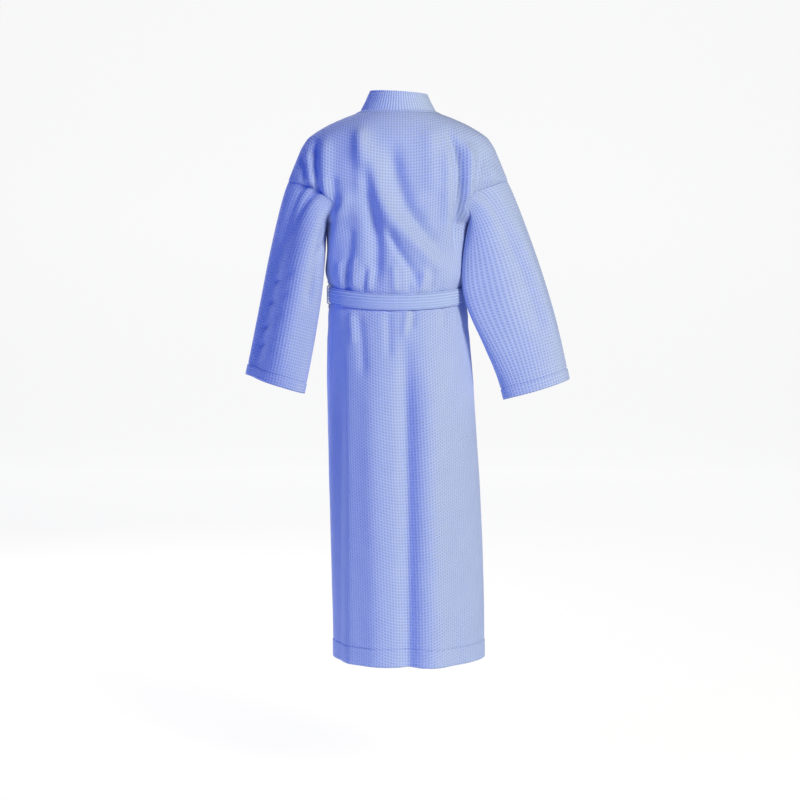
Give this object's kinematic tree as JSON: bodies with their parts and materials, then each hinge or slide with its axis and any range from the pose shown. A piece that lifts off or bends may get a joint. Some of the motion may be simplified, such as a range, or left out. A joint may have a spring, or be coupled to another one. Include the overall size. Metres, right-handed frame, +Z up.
{
  "type": "bathrobe",
  "caption": "Long kimono-style waffle bathrobe with dropped sleeves, neckband to the hem, belt in side loops, patch pockets and a hanging loop; front, sleeves and belt ends move.",
  "frame": {"origin": "middle of the neck at the height of the back neck seam, where the shoulders carry the robe", "axes": "+Z up, the front faces -Y, +X towards the wearer's left"},
  "size_m": [0.7341, 0.3104, 1.2884],
  "materials": {
    "waffle": "soft blue cotton waffle weave",
    "band": "blue cotton, ribbed and pressed flat",
    "belt": "blue cotton, rows of topstitching",
    "tape": "blue cotton tape",
    "label": "white woven ribbon, blank"
  },
  "bodies": {
    "robe": {"back_yoke": "waffle", "back_waist": "waffle", "back_skirt_upper": "waffle", "back_skirt_lower": "waffle", "front_left_bodice": "waffle", "front_right_bodice": "waffle", "front_right_skirt": "waffle", "neckband_back": "band", "neckband_left": "band", "neckband_right": "band", "belt_wrap": "belt", "belt_knot": "belt", "belt_loop_left": "belt", "belt_loop_right": "belt", "pocket_right": "waffle", "neck_tape": "tape", "neck_label": "label", "care_label": "label", "inner_tie_under": "tape", "inner_tie_side": "tape"},
    "left_sleeve": {"sleeve_left": "waffle"},
    "right_sleeve": {"sleeve_right": "waffle"},
    "left_skirt": {"front_left_skirt": "waffle", "neckband_left_lower": "band", "pocket_left": "waffle"},
    "outer_tail": {"belt_tail_outer": "belt"},
    "inner_tail": {"belt_tail_inner": "belt"},
    "loop": {"hang_loop": "tape"}
  },
  "joints": [
    {"name": "left_sleeve_lift", "type": "hinge", "parent": "robe", "child": "left_sleeve", "pos_m": [0.25, 0, -0.156], "axis": [0, -1, 0], "range_deg": [0, 60]},
    {"name": "right_sleeve_lift", "type": "hinge", "parent": "robe", "child": "right_sleeve", "pos_m": [-0.25, 0, -0.156], "axis": [0, 1, 0], "range_deg": [0, 60]},
    {"name": "front_open", "type": "hinge", "parent": "robe", "child": "left_skirt", "pos_m": [0.165, 0, -0.45], "axis": [0, 0, 1], "range_deg": [0, 30]},
    {"name": "outer_tail_swing", "type": "hinge", "parent": "robe", "child": "outer_tail", "pos_m": [-0.118, -0.098, -0.4461], "axis": [-1, 0, 0], "range_deg": [0, 60]},
    {"name": "inner_tail_swing", "type": "hinge", "parent": "robe", "child": "inner_tail", "pos_m": [-0.08, -0.1176, -0.4461], "axis": [-1, 0, 0], "range_deg": [0, 60]},
    {"name": "loop_flip", "type": "hinge", "parent": "robe", "child": "loop", "pos_m": [0, 0.056, 0.0005], "axis": [-1, 0, 0], "range_deg": [0, 150]}
  ]
}
